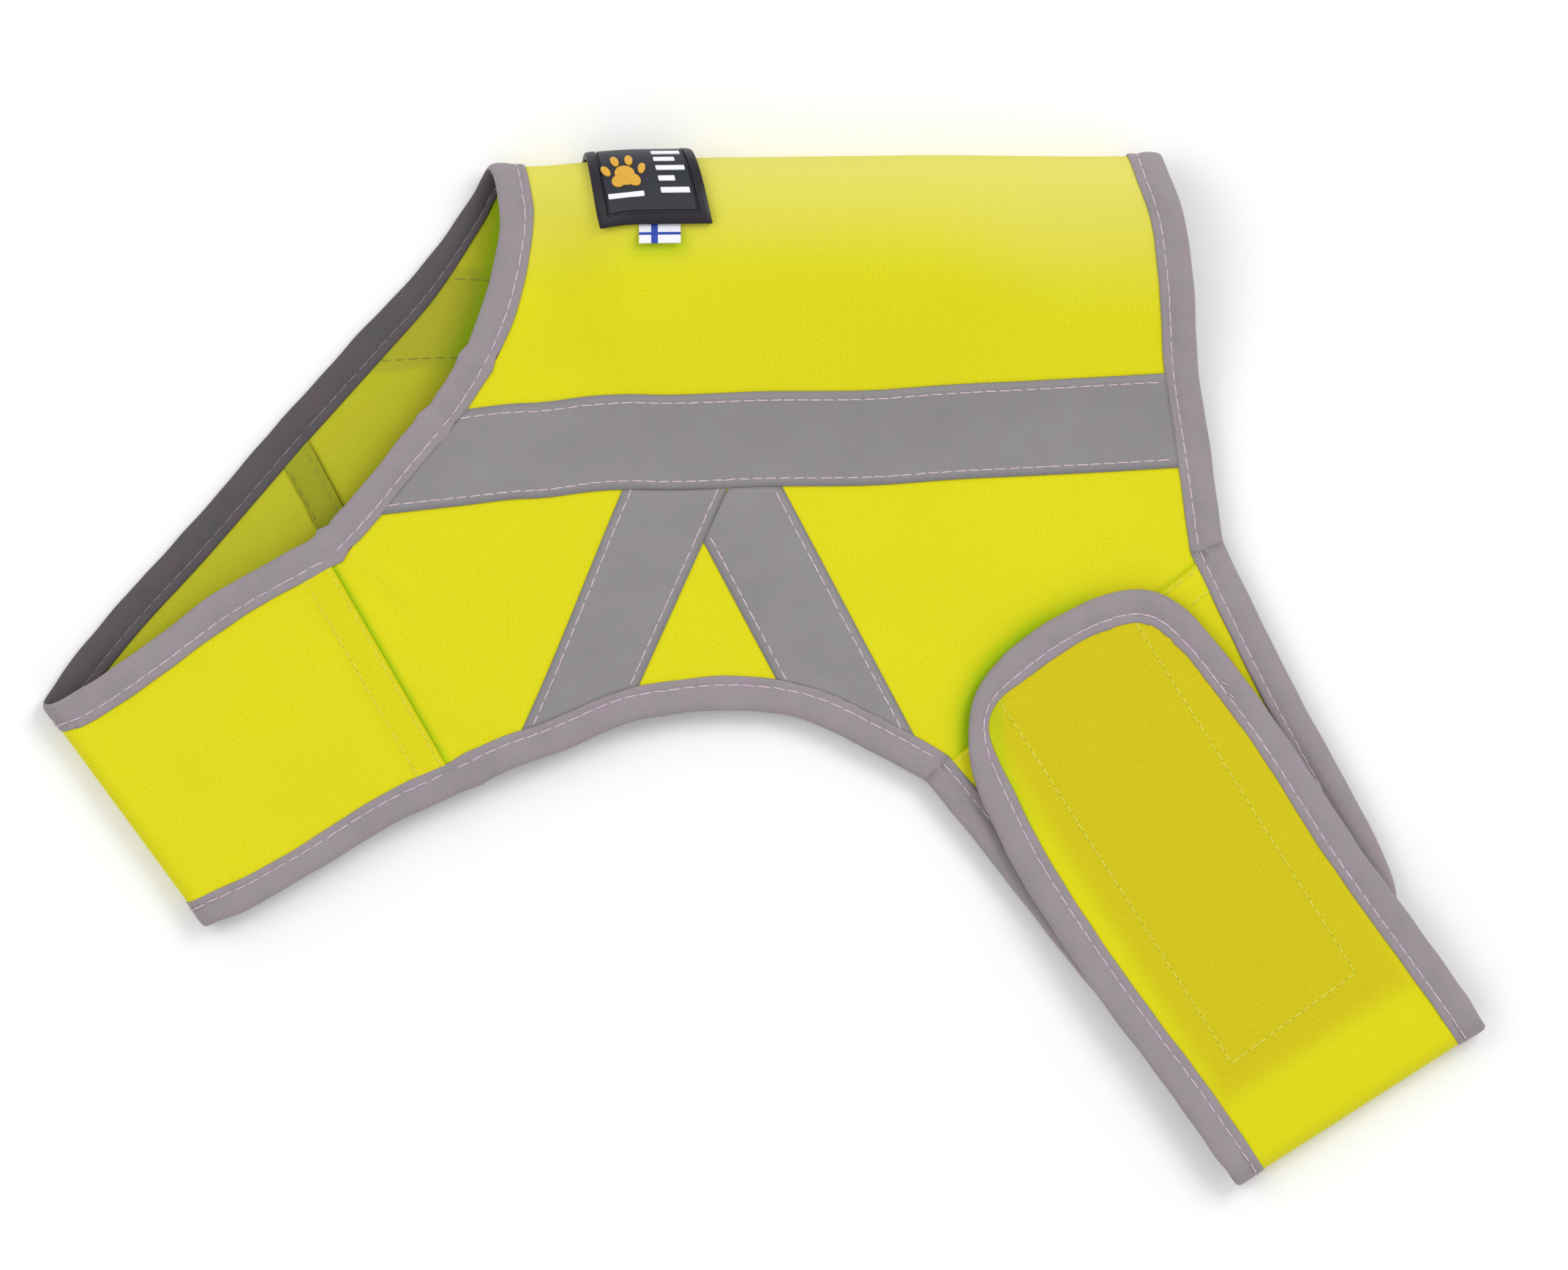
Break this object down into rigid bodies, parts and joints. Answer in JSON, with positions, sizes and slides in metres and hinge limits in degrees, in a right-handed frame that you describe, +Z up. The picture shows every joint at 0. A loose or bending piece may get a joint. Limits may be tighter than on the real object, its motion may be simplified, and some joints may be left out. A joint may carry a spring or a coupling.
{
  "type": "dog safety vest",
  "caption": "Yellow reflective dog safety vest laid flat on its side, with a soft roll along the back, grey edge binding, open neck and a wrapped belly strap.",
  "frame": {"origin": "middle of the bounding box seen from above, on the surface that the vest lies on", "axes": "+Z up from the surface, +Y from the belly towards the back, +X from the neck to the rear"},
  "size_m": [0.3862, 0.277, 0.0287],
  "materials": {
    "fabric": "fluorescent yellow knit softshell, matt",
    "twill": "fluorescent yellow twill, slightly worn",
    "binding": "grey woven elastic edge binding",
    "tape": "grey retroreflective tape, satin",
    "panel": "yellow hook and loop pile",
    "rubber": "black soft rubber label, satin",
    "ribbon": "white satin ribbon"
  },
  "bodies": {
    "root": {"body": "fabric", "chest_band": "fabric", "strap_near": "twill", "strap_far": "twill", "binding_neck": "binding", "binding_strap_near": "binding", "binding_rear": "binding", "binding_strap_far": "binding", "binding_leg": "binding", "tape_flank_near": "tape", "tape_front_near": "tape", "tape_back_near": "tape", "tape_flank_far": "tape", "tape_front_far": "tape", "tape_back_far": "tape", "hook_panel": "panel", "loop_panel": "panel", "label": "rubber", "flag_tag": "ribbon"}
  },
  "joints": []
}
